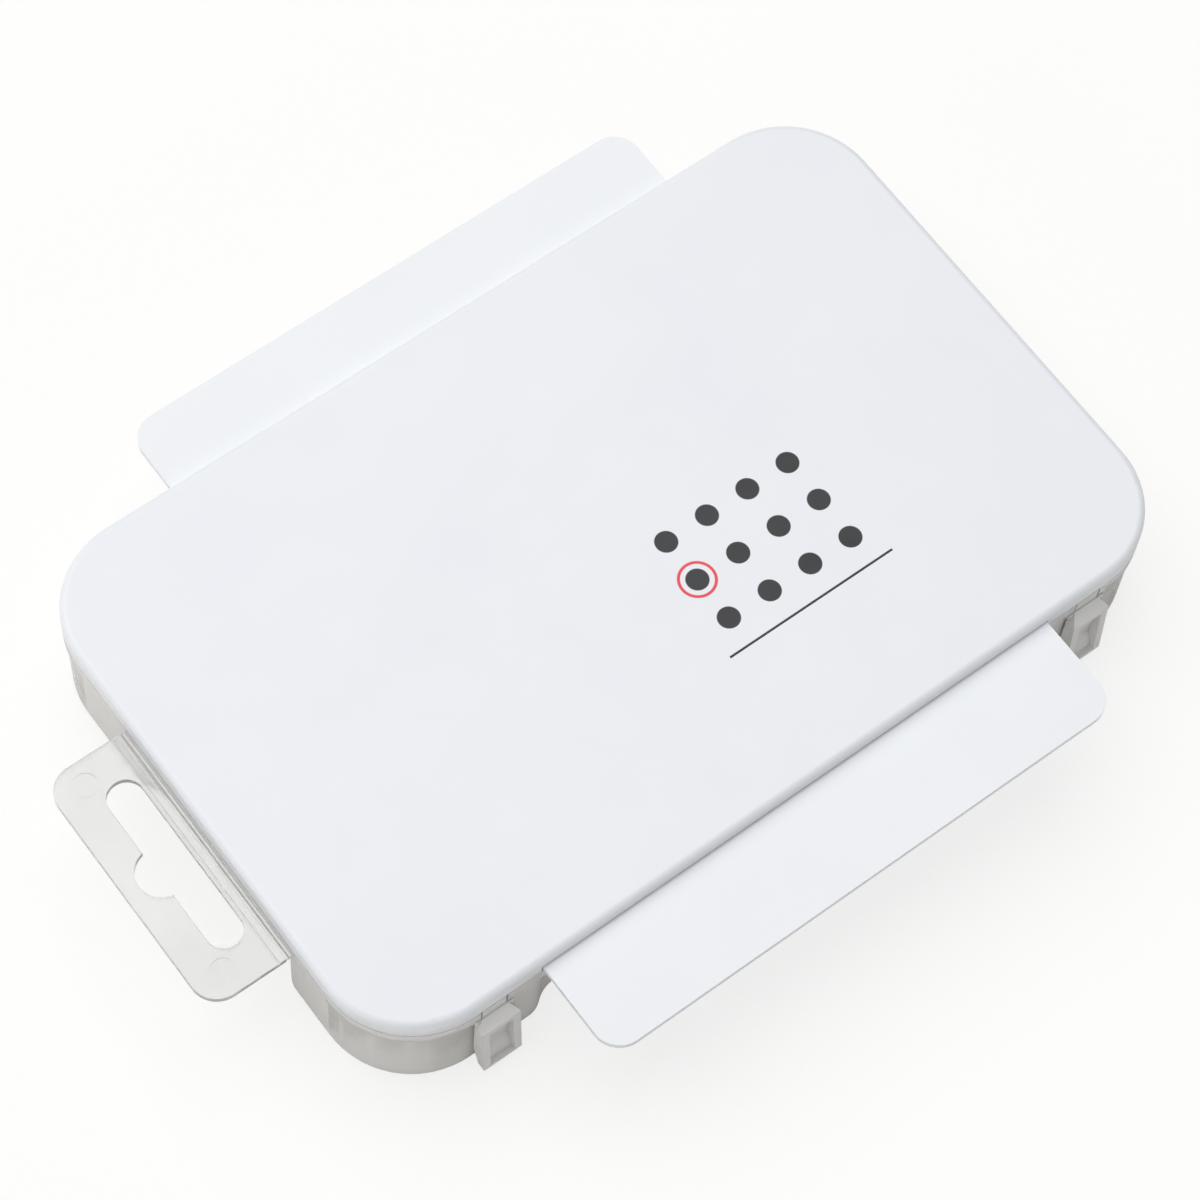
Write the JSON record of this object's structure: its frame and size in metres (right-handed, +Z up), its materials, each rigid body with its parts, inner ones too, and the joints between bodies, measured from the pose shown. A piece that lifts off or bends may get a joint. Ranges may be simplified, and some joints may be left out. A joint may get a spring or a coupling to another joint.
{
  "type": "gouache paint set box",
  "caption": "Flat box with a translucent tray of filled, film-sealed paint cups under an opaque hinged lid with pull-out mixing palettes, snap latches and a hang tab.",
  "frame": {"origin": "centre of the tray's underside", "axes": "+X along the box's long side, -Y towards the side with the latches, +Z up out of the lid"},
  "size_m": [0.1692, 0.1276, 0.0231],
  "materials": {
    "lid_white": "satin moulded polypropylene, opaque white",
    "palette_white": "smooth glossy polystyrene, opaque white",
    "tray_clear": "natural polypropylene, translucent and milky",
    "latch_clear": "natural polypropylene, translucent",
    "tab_clear": "natural polypropylene, nearly clear",
    "cup_white": "smooth white cup",
    "seal_film": "thin clear peelable film",
    "paint_white": "soft satin paint paste",
    "paint_lemon": "soft satin paint paste",
    "paint_yellow": "soft satin paint paste",
    "paint_orange": "soft satin paint paste",
    "paint_vermilion": "soft satin paint paste",
    "paint_rose": "soft satin paint paste",
    "paint_violet": "soft satin paint paste",
    "paint_ultramarine": "soft satin paint paste",
    "paint_sky": "soft satin paint paste",
    "paint_green": "soft satin paint paste",
    "paint_umber": "soft satin paint paste",
    "paint_black": "soft satin paint paste"
  },
  "bodies": {
    "base": {"tray": "tray_clear", "cup_01": "cup_white", "cup_02": "cup_white", "cup_03": "cup_white", "cup_04": "cup_white", "cup_05": "cup_white", "cup_06": "cup_white", "cup_07": "cup_white", "cup_08": "cup_white", "cup_09": "cup_white", "cup_10": "cup_white", "cup_11": "cup_white", "cup_12": "cup_white", "paint_01": "paint_white", "paint_02": "paint_lemon", "paint_03": "paint_yellow", "paint_04": "paint_orange", "paint_05": "paint_vermilion", "paint_06": "paint_rose", "paint_07": "paint_violet", "paint_08": "paint_ultramarine", "paint_09": "paint_sky", "paint_10": "paint_green", "paint_11": "paint_umber", "paint_12": "paint_black", "seal_01": "seal_film", "seal_02": "seal_film", "seal_03": "seal_film", "seal_04": "seal_film", "seal_05": "seal_film", "seal_06": "seal_film", "seal_07": "seal_film", "seal_08": "seal_film", "seal_09": "seal_film", "seal_10": "seal_film", "seal_11": "seal_film", "seal_12": "seal_film"},
    "lid_body": {"lid": "lid_white"},
    "front_palette_body": {"palette_front": "palette_white"},
    "rear_palette_body": {"palette_rear": "palette_white"},
    "left_latch_body": {"latch_left": "latch_clear"},
    "right_latch_body": {"latch_right": "latch_clear"},
    "tab_body": {"hang_tab": "tab_clear"}
  },
  "joints": [
    {"name": "lid_hinge", "type": "hinge", "parent": "base", "child": "lid_body", "pos_m": [0, 0.04915, 0.0169], "axis": [-1, 0, 0], "range_deg": [0, 95]},
    {"name": "front_palette_slide", "type": "slide", "parent": "lid_body", "child": "front_palette_body", "axis": [0, -1, 0], "range_m": [-0.0163, 0.0177]},
    {"name": "rear_palette_slide", "type": "slide", "parent": "lid_body", "child": "rear_palette_body", "axis": [0, 1, 0], "range_m": [-0.0121, 0.0219]},
    {"name": "left_latch_swing", "type": "hinge", "parent": "lid_body", "child": "left_latch_body", "pos_m": [-0.0575, -0.0469, 0.0206], "axis": [-1, 0, 0], "range_deg": [0, 12]},
    {"name": "right_latch_swing", "type": "hinge", "parent": "lid_body", "child": "right_latch_body", "pos_m": [0.0575, -0.0469, 0.0206], "axis": [-1, 0, 0], "range_deg": [0, 12]},
    {"name": "tab_fold", "type": "hinge", "parent": "base", "child": "tab_body", "pos_m": [-0.07765, -0.0025, 0.0184], "axis": [0, -1, 0], "range_deg": [0, 90]}
  ]
}
